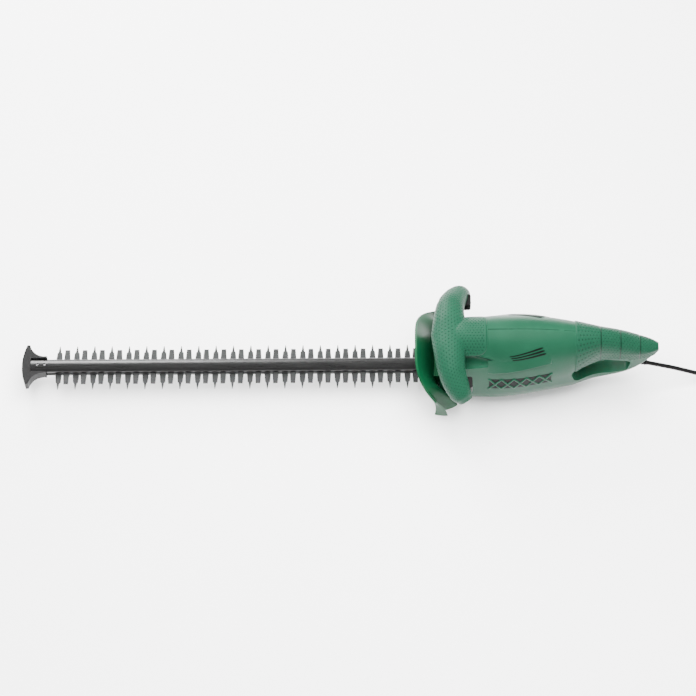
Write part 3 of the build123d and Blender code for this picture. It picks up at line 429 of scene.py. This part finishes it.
def moulded(name, base, worn, rough=(0.34, 0.46), grain=1500.0, depth=0.00006):
    """Moulded plastic or rubber: drifting colour, spark grain and paler worn edges."""
    material, tree, shader = started_material(name)
    texture = placed_group(tree, GROUPS["spark"], Grain_Scale=grain)
    wear = placed_group(tree, GROUPS["wear"])
    drift = spread(tree, texture.outputs["Drift"], 0, 1)
    body = mixed_colour(tree, drift, scaled(base, 0.86), base)
    tree.links.new(mixed_colour(tree, wear.outputs["Wear"], body, worn),
                   shader.inputs["Base Color"])
    tree.links.new(spread(tree, texture.outputs["Drift"], *rough), shader.inputs["Roughness"])
    shader.inputs["Specular IOR Level"].default_value = MOULDING_SPECULAR
    bump(tree, shader, texture.outputs["Grain"], GRAIN_STRENGTH, depth)
    return material


def dimpled(name, base, worn):
    """Grip moulding: the plain moulding's nodes, with painted shade in the dimples, seams and
    screw recess, set by the piece's own point attribute of painted shade."""
    material = moulded(name, base, worn, (0.40, 0.52), 900.0, 0.0001)
    tree = material.node_tree
    shader = tree.nodes["Principled BSDF"]
    surface = shader.inputs["Base Color"].links[0].from_socket
    painted_shade = tree.nodes.new("ShaderNodeAttribute")
    painted_shade.attribute_name = "painted_shade"
    # Painted shade: the colour falls to six hundredths of the base where the attribute is one.
    tree.links.new(mixed_colour(tree, painted_shade.outputs["Fac"], surface, scaled(base, 0.06)),
                   shader.inputs["Base Color"])
    return material


def metal(name, dark, bright, rough=(0.28, 0.42), metallic=1.0, lines=60.0):
    """Ground, turned or cast metal: machining lines in colour, roughness and height."""
    material, tree, shader = started_material(name)
    texture = placed_group(tree, GROUPS["lines"], Line_Scale=lines)
    colour = mixed_colour(tree, spread(tree, texture.outputs["Lines"], 0, 1), dark, bright)
    tree.links.new(colour, shader.inputs["Base Color"])
    tree.links.new(spread(tree, texture.outputs["Lines"], *rough), shader.inputs["Roughness"])
    shader.inputs["Metallic"].default_value = metallic
    bump(tree, shader, texture.outputs["Lines"], LINE_STRENGTH, LINE_DEPTH)
    return material


def make_finishes(look):
    """Every finish of the trimmer, by the record's material slot."""
    GROUPS["spark"] = spark_texture_group()
    GROUPS["wear"] = edge_wear_group()
    GROUPS["lines"] = machined_group()
    green = tuple(look.housing_green)
    guard = tuple(look.guard_green)
    grip = tuple(look.grip_green)
    black = tuple(look.black)
    FINISH["green_plastic"] = moulded("green_nylon", green, scaled(green, 1.5))
    FINISH["green_grip"] = dimpled("green_grip_texture", grip, scaled(grip, 1.5))
    FINISH["dark_green_plastic"] = moulded("guard_green_nylon", guard, scaled(guard, 1.6),
                                           (0.36, 0.48))
    FINISH["black_plastic"] = moulded("black_nylon", black, scaled(black, 3))
    FINISH["red_plastic"] = moulded("trigger_red_nylon", tuple(look.trigger_red),
                                    (0.6, 0.1, 0.08), (0.3, 0.4))
    FINISH["capacitor_film"] = moulded("capacitor_case", (0.45, 0.36, 0.05), (0.6, 0.5, 0.1),
                                       (0.2, 0.3))
    FINISH["cord_rubber"] = moulded("cord_sheath", (0.003, 0.003, 0.003), (0.01, 0.01, 0.01),
                                    (0.42, 0.55))
    FINISH["carbon"] = moulded("pressed_carbon", (0.03, 0.03, 0.03), (0.08, 0.08, 0.08))
    FINISH["black_aluminium"] = metal("black_bar_coat", (0.003, 0.003, 0.003),
                                      (0.006, 0.006, 0.006), (0.26, 0.34), 0.0, 22.0)
    FINISH["blade_steel"] = metal("ground_blade_steel", (0.018, 0.019, 0.019),
                                  (0.034, 0.035, 0.035), (0.34, 0.5), 0.55)
    FINISH["gear_steel"] = metal("turned_gear_steel", (0.30, 0.30, 0.31), (0.45, 0.45, 0.46))
    FINISH["screw_steel"] = metal("plated_screw_steel", (0.38, 0.38, 0.39), (0.55, 0.55, 0.56),
                                  (0.2, 0.34))
    FINISH["cast_aluminium"] = metal("cast_gearbox_alloy", (0.45, 0.45, 0.46),
                                     (0.62, 0.62, 0.63), (0.45, 0.62))
    FINISH["lamination_steel"] = metal("varnished_laminations", (0.10, 0.10, 0.11),
                                       (0.17, 0.17, 0.18), (0.4, 0.6), 0.9, 200.0)
    FINISH["copper"] = metal("enamelled_copper", (0.52, 0.22, 0.09), (0.68, 0.33, 0.15),
                             (0.25, 0.38), 1.0, 300.0)
    FINISH["plug_metal"] = metal("nickelled_pins", (0.55, 0.50, 0.34), (0.70, 0.65, 0.48),
                                 (0.16, 0.28))
    # Painted shade: a near-black finish for sheets that stand for the shade inside the vent
    # openings and the shells' joint.
    FINISH["vent_shadow"] = moulded("vent_painted_shade", (0.0008, 0.0015, 0.001), (0.001, 0.002, 0.0015),
                                    (0.6, 0.7))


def finished(obj, slot, body="frame", finish=None):
    """Gives a new piece its finish, chosen by its slot unless another finish is named, and the
    body that it rides on.
    """
    obj.data.materials.clear()
    obj.data.materials.append(FINISH[finish or slot])
    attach(obj, body)
    return obj


# ---- settings -----------------------------------------------------------------------------
def colour(label, text, value):
    """A colour setting of the finishes."""
    return bpy.props.FloatVectorProperty(name=label, description=text, default=value,
                                         subtype="COLOR", size=3, min=0, max=1)


class TrimmerFinishSettings(bpy.types.PropertyGroup):
    """Colours of the mouldings."""
    housing_green: colour("Housing green", "Colour of the motor housing", (0.0050, 0.040, 0.0205))
    guard_green: colour("Guard green", "Colour of the hand guard", (0.0022, 0.036, 0.0135))
    grip_green: colour("Grip green", "Colour of the textured grips", (0.0050, 0.039, 0.0205))
    black: colour("Black", "Colour of the black mouldings", (0.003, 0.003, 0.003))
    trigger_red: colour("Trigger red", "Colour of the trigger", (0.16, 0.003, 0.003))


class TrimmerSizeSettings(bpy.types.PropertyGroup):
    """Sizes of the grips, vents and lead."""
    dimple_pitch: bpy.props.FloatProperty(
        name="Dimple pitch", description="Distance between the dimples of the grips",
        default=0.0044, min=0.002, max=0.01, unit="LENGTH")
    dimple_depth: bpy.props.FloatProperty(
        name="Dimple depth", description="Depth of the grips' dimples",
        default=0.0011, min=0.0, max=0.002, unit="LENGTH")
    skin_lift: bpy.props.FloatProperty(
        name="Grip lift", description="How far a grip's face stands proud of the moulding",
        default=0.0013, min=0.0002, max=0.003, unit="LENGTH")
    relief_ribs: bpy.props.IntProperty(
        name="Relief ribs", description="Ribs round the strain relief", default=6, min=0, max=12)


class TrimmerStageSettings(bpy.types.PropertyGroup):
    """Camera, floor and light."""
    lens: bpy.props.FloatProperty(
        name="Lens", description="Focal length of the camera", default=135.69, min=20, max=300)
    key_power: bpy.props.FloatProperty(
        name="Key power", description="Power of the key light", default=120.0, min=0, max=900)
    sky: bpy.props.FloatProperty(
        name="Sky", description="Strength of the even light", default=0.5, min=0, max=4)


# ---- operators ----------------------------------------------------------------------------
class TRIMMER_OT_finishes(bpy.types.Operator):
    """Makes the finishes and gives each node of the frame its own."""
    bl_idname = "trimmer.finishes"
    bl_label = "Finishes"

    def execute(self, context):
        make_finishes(context.scene.trimmer_finish)
        slots = {row["node"]: row["material_slot"] for row in frame["record"]["subparts"]}
        for name, obj in NODES.items():
            obj.data.materials.clear()
            obj.data.materials.append(FINISH[slots[name]])
        return {"FINISHED"}


class TRIMMER_OT_stage(bpy.types.Operator):
    """Pale floor, soft studio light and the camera."""
    bl_idname = "trimmer.stage"
    bl_label = "Stage"

    def execute(self, context):
        settings = context.scene.trimmer_stage
        reach = 6.0
        floor = mesh_from("floor", np.array([(-reach, -reach, 0), (reach, -reach, 0),
                                             (reach, reach, 0), (-reach, reach, 0)]),
                          np.array([(0, 1, 2, 3)]), smooth=False)
        material, tree, shader = started_material("pale_floor")
        mask = spread(tree, noise(tree, 3.0, 3.0), 0, 1)
        tree.links.new(mixed_colour(tree, mask, (0.93, 0.93, 0.93), (0.95, 0.95, 0.95)),
                       shader.inputs["Base Color"])
        shader.inputs["Roughness"].default_value = 0.9
        floor.data.materials.append(material)

        world = bpy.data.worlds.new("studio")
        world.use_nodes = True
        sky = world.node_tree.nodes["Background"]
        sky.inputs["Color"].default_value = (1, 1, 1, 1)
        sky.inputs["Strength"].default_value = settings.sky
        context.scene.world = world

        # Each light: place, width, share of the key power, and whether gloss shows it.
        centre = Vector((0.0, 0.0, 0.05))
        lights = [((-0.7, 1.5, 1.05), 0.8, 0.55, True), ((0.7, -1.3, 1.2), 1.2, 0.2, False),
                  ((0.0, 0.25, 2.2), 2.4, 3.1, False)]
        for i, (spot, size, share, mirrored) in enumerate(lights):
            lamp = bpy.data.lights.new(f"softbox_{i}", "AREA")
            lamp.size = size
            lamp.energy = settings.key_power * share
            holder = bpy.data.objects.new(f"softbox_{i}", lamp)
            holder.visible_glossy = mirrored
            holder.location = spot
            holder.rotation_euler = (centre - Vector(spot)).to_track_quat("-Z", "Y").to_euler()
            context.scene.collection.objects.link(holder)

        camera = bpy.data.cameras.new("camera")
        camera.lens = settings.lens
        camera.sensor_width = 36
        camera.clip_end = 50
        holder = bpy.data.objects.new("camera", camera)
        holder.matrix_world = camera_place()
        context.scene.collection.objects.link(holder)
        context.scene.camera = holder
        return {"FINISHED"}


def camera_place():
    """Camera's place: the object turned half over towards the viewer, with a small yaw and
    roll, seen from well over three metres."""
    rise, yaw, roll = math.radians(30.0), math.radians(-1.30267), math.radians(0.34007)
    tip = np.array([[1, 0, 0], [0, math.cos(rise), math.sin(rise)],
                    [0, -math.sin(rise), math.cos(rise)]])
    swing = np.array([[math.cos(yaw), 0, math.sin(yaw)], [0, 1, 0],
                      [-math.sin(yaw), 0, math.cos(yaw)]])
    lean = np.array([[math.cos(roll), -math.sin(roll), 0],
                     [math.sin(roll), math.cos(roll), 0], [0, 0, 1]])
    turn = lean @ swing @ tip
    distance = np.array([0.158374, 0.025731, 3.60812])
    spot = turn.T @ distance + np.array([-0.1451, 0.0, BLADE_Z])
    matrix = Matrix([[*turn.T[i], spot[i]] for i in range(3)] + [[0, 0, 0, 1]])
    return matrix


class TRIMMER_OT_front_grip(bpy.types.Operator):
    """Dimpled grip skins over both wings, the right one dipped into its screw's recess, and
    over the saddle behind them. A skin is the wing's own surface, lifted along its normals."""
    bl_idname = "trimmer.front_grip"
    bl_label = "Front grip"

    def execute(self, context):
        sizes = context.scene.trimmer_size
        reach, first, last = 0.93, 24, 214
        for side, name in ((-1, "wing_grip_left"), (1, "wing_grip_right")):
            s, angle = np.meshgrid(np.linspace(0.0, reach, 190),
                                   np.radians(np.linspace(first, last, 200)), indexing="ij")
            base = wing_point(s, angle, side)
            out = normals_of(base)
            top = out[:, 100, 2].mean()
            out = out if top > 0 else -out
            field = dimple_field(s * WING_LENGTH, angle * WING_GIRTH_RADIUS, sizes.dimple_pitch,
                                 sizes.dimple_depth)
            sides = np.minimum(angle - np.radians(first), np.radians(last) - angle)
            edge = np.minimum(np.clip((reach - s) * 14, 0, 1), np.clip(sides * 8, 0, 1))
            away = np.hypot(base[..., 1] - SCREW_Y, base[..., 2] - SCREW_Z)
            shut = np.clip((away - SCREW_RECESS_RADIUS) / 0.0008, 0, 1)
            shut = np.where(base[..., 0] < WING_MIDDLE_X, shut, 1.0)
            dimples = field * (edge > 0.9) * (shut >= 1)
            lift = edge_roll(np.minimum(edge, shut)) * sizes.skin_lift + dimples
            base = base - out * (SCREW_RECESS_DEPTH * (1 - shut))[..., None]
            outer = base + out * lift[..., None]
            inner = base - out * SKIN_SUNK
            # Painted shade: one at the dimples' floors and over the screw's recess, where the grip
            # finish turns near black.
            painted_shade = np.maximum(-dimples / sizes.dimple_depth, 1 - shut)
            obj = skin(name, outer, inner, painted_shade)
            finished(obj, "green_grip")
        self.make_saddle(sizes)
        return {"FINISHED"}

    @staticmethod
    def make_saddle(sizes):
        """Grip skin over the housing's shoulders: a patch of the upper ellipse whose rear
        corners are rounded by a superellipse edge."""
        front, rear, edge_angle = 0.050, 0.097, math.radians(50)
        corner_power, edge_steepness, plain_rim, arc_measure = 7, 22, 0.06, 0.052
        x, angle = np.meshgrid(np.linspace(front, rear, 110),
                               np.linspace(edge_angle, math.pi - edge_angle, 190), indexing="ij")
        base = body_arc(x, angle)
        out = normals_of(base)
        out = out if out[:, 95, 2].mean() > 0 else -out
        along = np.clip((x - front) / (rear - front), 0, 1)
        across = np.abs(angle - math.pi / 2) / (math.pi / 2 - edge_angle)
        share = 1 - (along ** corner_power + across ** corner_power) ** (1 / corner_power)
        field = dimple_field(x, angle * arc_measure, sizes.dimple_pitch, sizes.dimple_depth)
        lift = edge_roll(share * edge_steepness) * sizes.skin_lift + field * (share > plain_rim)
        lift = np.where(share < 0, -0.0004, lift)
        # The last mask is painted shade in the dimples.
        finished(skin("saddle_grip", base + out * lift[..., None], base - out * SKIN_SUNK,
                      -field * (share > plain_rim) / sizes.dimple_depth), "green_grip")


def edge_roll(share):
    """Rounded shoulder: 0 at the edge rising on a quarter circle to 1."""
    return np.sqrt(np.clip(1 - (1 - np.clip(share, 0, 1)) ** 2, 0, 1))


class TRIMMER_OT_rear_grip(bpy.types.Operator):
    """Dimpled pad over the rear handle, with its cross seams."""
    bl_idname = "trimmer.rear_grip"
    bl_label = "Rear grip"

    def execute(self, context):
        sizes = context.scene.trimmer_size
        front, rear = 0.216, 0.3296
        seam_places, seam_half_width = (0.250, 0.277, 0.304), 0.0012
        arc_measure = 0.045
        x, across = np.meshgrid(np.linspace(front, rear, 260), np.linspace(-1, 1, 261),
                                indexing="ij")
        floor_z = 0.046 - 0.006 * np.clip((x - 0.285) / 0.01, 0, 1)
        base = body_top(x, across, floor_z)
        out = normals_of(base)
        out = out if out[:, 130, 2].mean() > 0 else -out
        field = dimple_field(x, across * arc_measure, sizes.dimple_pitch, sizes.dimple_depth)
        seams = np.minimum.reduce([np.abs(x - at) for at in seam_places])
        groove = np.clip(seams / seam_half_width, 0, 1)
        edge = np.minimum(np.clip((x - front) / 0.002, 0, 1),
                          np.clip((1 - np.abs(across)) / 0.03, 0, 1))
        lift = edge_roll(np.minimum(edge, groove)) * sizes.skin_lift
        lift = lift + field * (groove >= 1) * (edge >= 1)
        outer = base + out * lift[..., None]
        inner = base - out * PAD_SKIN_SUNK
        # Painted shade in the dimples and in the cross seams.
        painted_shade = -field * (groove >= 1) * (edge >= 1) / sizes.dimple_depth
        obj = skin("rear_grip", outer, inner, np.maximum(painted_shade, 1 - groove))
        finished(obj, "green_grip")
        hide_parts("rear_grip_pad")
        return {"FINISHED"}


def lifted_patch(name, base, lift, side, slot, finish, sunk):
    """Skin between a surface moved out along its normals by lift and in by sunk."""
    out = normals_of(base)
    rows, columns = lift.shape
    out = out if out[rows // 2, columns // 2, 1] * side > 0 else -out
    obj = skin(name, base + out * lift[..., None], base - out * sunk)
    return finished(obj, slot, finish=finish)


def side_patch(name, x, angle, lift, side, slot, finish=None, sunk=SKIN_SUNK):
    """Skin on the upper ellipse of one side; side -1 is the left, where angles are mirrored."""
    base = body_arc(x, angle) * np.array([1.0, side, 1.0])
    return lifted_patch(name, base, lift, side, slot, finish, sunk)


def wall_patch(name, x, z, lift, side, slot, finish=None, sunk=SKIN_SUNK):
    """Skin on the housing's wall at the given places and heights, on one side."""
    return lifted_patch(name, body_side(x, z, side), lift, side, slot, finish, sunk)


class TRIMMER_OT_vents(bpy.types.Operator):
    """Curved vent strips, the vent lattice and the shoulder crease on each side."""
    bl_idname = "trimmer.vents"
    bl_label = "Vents"

    def execute(self, context):
        for side, hand in ((-1, "left"), (1, "right")):
            self.make_strips(side, hand)
            self.make_lattice(side, hand)
            self.make_crease(side, hand)
        self.make_seam()
        return {"FINISHED"}

    @staticmethod
    def make_strips(side, hand):
        """Three thin near-black wedges, painted shade of the vent slots, that fan out to the rear:
        the angle round the section climbs with the power one and a half of the way along."""
        first, step, length, lift = 0.127, 0.002, 0.045, 0.0004
        for i in range(3):
            t, w = np.meshgrid(np.linspace(0, 1, 60), np.linspace(-1, 1, 9), indexing="ij")
            x = first + step * i + length * t
            middle = 49 + 9 * t ** 1.5 - i * (2.6 + 2.2 * t)
            half = (0.45 + 0.95 * t) * np.sqrt(np.clip((1 - t) * 12, 0.02, 1))
            angle = np.radians(middle + w * half)
            side_patch(f"vent_strip_{hand}_{i + 1}", x, angle, np.full_like(x, lift), side,
                       "black_plastic", "vent_shadow")

    @staticmethod
    def make_lattice(side, hand):
        """Near-black sheet in a slanted band, painted shade of the vent openings, crossed by two
        families of ribs.
        """
        first, pitch, count = 0.100, 0.0168, 5
        bottom, rise, tall = 0.0225, 0.0055, 0.0205
        recess_lift, rib_foot, rib_height, rib_half_width = 0.0002, 0.0004, 0.0012, 0.0017
        x, w = np.meshgrid(np.linspace(first, first + pitch * count, 120), np.linspace(0, 1, 24),
                           indexing="ij")
        share = (x - first) / (pitch * count)
        wall_patch(f"vent_recess_{hand}", x, bottom + rise * share + tall * w,
                   np.full_like(x, recess_lift), side, "black_plastic", "vent_shadow")
        for i in range(count):
            for lean, mark in ((1, "a"), (-1, "b")):
                t, v = np.meshgrid(np.linspace(0, 1, 24), np.linspace(-1, 1, 9), indexing="ij")
                start = first + pitch * (i + (0 if lean > 0 else 1))
                x = start + lean * pitch * t + v * rib_half_width
                share = (x - first) / (pitch * count)
                lift = rib_foot + rib_height * edge_roll(1 - np.abs(v))
                wall_patch(f"vent_rib_{hand}_{i + 1}{mark}", x, bottom + rise * share + tall * t,
                           lift, side, "green_plastic")

    @staticmethod
    def make_crease(side, hand):
        """Shoulder that stands proud along a rising line and fades upwards into the housing."""
        first, length, sunk, height = 0.098, 0.086, 0.0003, 0.0030
        low_angle, climb, width_angle = 27, 4, 17
        t, q = np.meshgrid(np.linspace(0, 1, 90), np.linspace(0, 1, 26), indexing="ij")
        x = first + length * t
        angle = np.radians(low_angle + climb * t + width_angle * q)
        fade = np.sin(math.pi * np.clip(t, 0, 1)) ** 0.4
        lift = -sunk + height * fade * (1 - q) ** 1.4
        side_patch(f"shoulder_{hand}", x, angle, lift, side, "green_plastic")

    @staticmethod
    def make_seam():
        """Joint line of the two shells: a fine near-black strip on the ridge, painted shade of the
        joint's gap.
        """
        first, last, half_angle, lift, sunk = 0.098, 0.2155, 0.35, 0.00012, 0.0004
        x, w = np.meshgrid(np.linspace(first, last, 120), np.linspace(-1, 1, 5), indexing="ij")
        angle = math.pi / 2 + np.radians(half_angle) * w
        side_patch("ridge_joint", x, angle, np.full_like(x, lift), 1, "green_plastic",
                   "vent_shadow", sunk)


class TRIMMER_OT_lead(bpy.types.Operator):
    """Rubber lead, its coil, tail and strain relief."""
    bl_idname = "trimmer.lead"
    bl_label = "Lead"

    def execute(self, context):
        # The route repeats the source's own points, in metres.
        route = [(0.42286, 0.0, 0.0390), (0.44917, 0.0, 0.02942), (0.4755, -0.0015, 0.0202),
                 (0.502, -0.0045, 0.0116), (0.530, -0.005, 0.0048), (0.562, 0.0, 0.0032)]
        tail = [(0.598, 0.036, 0.0098), (0.599, 0.055, 0.0098), (0.596, 0.075, 0.0115),
                (0.596, 0.092, 0.0115)]
        coil_centre = (0.562, 0.036)
        coil_radius = 0.036
        steps, turns = 22, 1.25
        lowest, lift, climb_start, climb_length = 0.0032, 0.0066, 0.55, 0.35
        coil = []
        for i in range(1, steps):
            share = i / steps
            angle = -math.pi / 2 + share * turns * 2 * math.pi
            climb = min(1.0, max(0.0, (share * turns - climb_start) / climb_length))
            rise = lowest + lift * climb
            coil.append((coil_centre[0] + coil_radius * math.cos(angle),
                         coil_centre[1] + coil_radius * math.sin(angle), rise))
        line = route + coil + tail
        curve = bpy.data.curves.new("lead", "CURVE")
        curve.dimensions = "3D"
        curve.bevel_depth = CORD_RADIUS
        curve.bevel_resolution = 6
        curve.use_fill_caps = True
        curve.resolution_u = 12
        spline = curve.splines.new("NURBS")
        spline.points.add(len(line) - 1)
        spline.points.foreach_set("co", [c for point in line for c in (*point, 1.0)])
        spline.order_u = 3
        spline.use_endpoint_u = True
        lead = bpy.data.objects.new("lead", curve)
        context.scene.collection.objects.link(lead)
        curve.materials.append(FINISH["cord_rubber"])
        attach(lead, "frame")
        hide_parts("cord", "cord_coil", "cord_tail")

        relief = strain_relief(context.scene.trimmer_size.relief_ribs)
        finished(relief, "cord_rubber")
        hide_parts("strain_relief")
        return {"FINISHED"}


def strain_relief(ribs):
    """Ribbed sleeve that tapers to the lead: a turned profile whose radius falls evenly and
    swells at each rib, spun about the tilted cord axis."""
    tilt = math.radians(20.0)
    axis = np.array([math.cos(tilt), 0.0, -math.sin(tilt)])
    centre = np.array([TOOL_X + 0.300, 0.0, BLADE_Z + 0.0115])
    start, end = -0.005, 0.0189
    root_radius, taper, rib_height, first_rib = 0.0042, 0.0008, 0.0007, 0.25
    rings, sides = 180, 40
    t = np.linspace(0, 1, rings)
    swell = rib_height * np.clip(np.sin(t * ribs * 2 * math.pi), 0, 1) * (t > first_rib)
    radius = root_radius - taper * t + swell
    path = centre + axis * (start + (end - start) * t)[:, None]
    up = np.array([math.sin(tilt), 0.0, math.cos(tilt)])
    across = np.array([0.0, 1.0, 0.0])
    return tube("ribbed_strain_relief", path, np.tile(across, (rings, 1)), np.tile(up, (rings, 1)),
                radius, sides)


class TRIMMER_PT_panel(bpy.types.Panel):
    """Lists the trimmer's operators."""
    bl_label = "Hedge trimmer"
    bl_idname = "TRIMMER_PT_panel"
    bl_space_type = "VIEW_3D"
    bl_region_type = "UI"
    bl_category = "Trimmer"

    def draw(self, context):
        for operator in OPERATORS:
            self.layout.operator(operator.bl_idname)
        for group in ("trimmer_finish", "trimmer_size", "trimmer_stage"):
            settings = getattr(context.scene, group)
            for key in settings.bl_rna.properties.keys():
                if key not in ("rna_type", "name"):
                    self.layout.prop(settings, key)


OPERATORS = (TRIMMER_OT_finishes, TRIMMER_OT_stage, TRIMMER_OT_front_grip, TRIMMER_OT_rear_grip,
             TRIMMER_OT_vents, TRIMMER_OT_lead)
CLASSES = (TrimmerFinishSettings, TrimmerSizeSettings, TrimmerStageSettings, *OPERATORS,
           TRIMMER_PT_panel)


def register():
    """Registers the classes and hangs the settings on the scene."""
    for item in CLASSES:
        bpy.utils.register_class(item)
    bpy.types.Scene.trimmer_finish = bpy.props.PointerProperty(type=TrimmerFinishSettings)
    bpy.types.Scene.trimmer_size = bpy.props.PointerProperty(type=TrimmerSizeSettings)
    bpy.types.Scene.trimmer_stage = bpy.props.PointerProperty(type=TrimmerStageSettings)


def unregister():
    """Removes the settings and the classes."""
    for key in ("trimmer_finish", "trimmer_size", "trimmer_stage"):
        delattr(bpy.types.Scene, key)
    for item in reversed(CLASSES):
        bpy.utils.unregister_class(item)


def main():
    """Builds everything."""
    register()
    bpy.ops.trimmer.finishes()
    bpy.ops.trimmer.stage()
    bpy.ops.trimmer.front_grip()
    bpy.ops.trimmer.rear_grip()
    bpy.ops.trimmer.vents()
    bpy.ops.trimmer.lead()


if __name__ == "__main__":
    main()
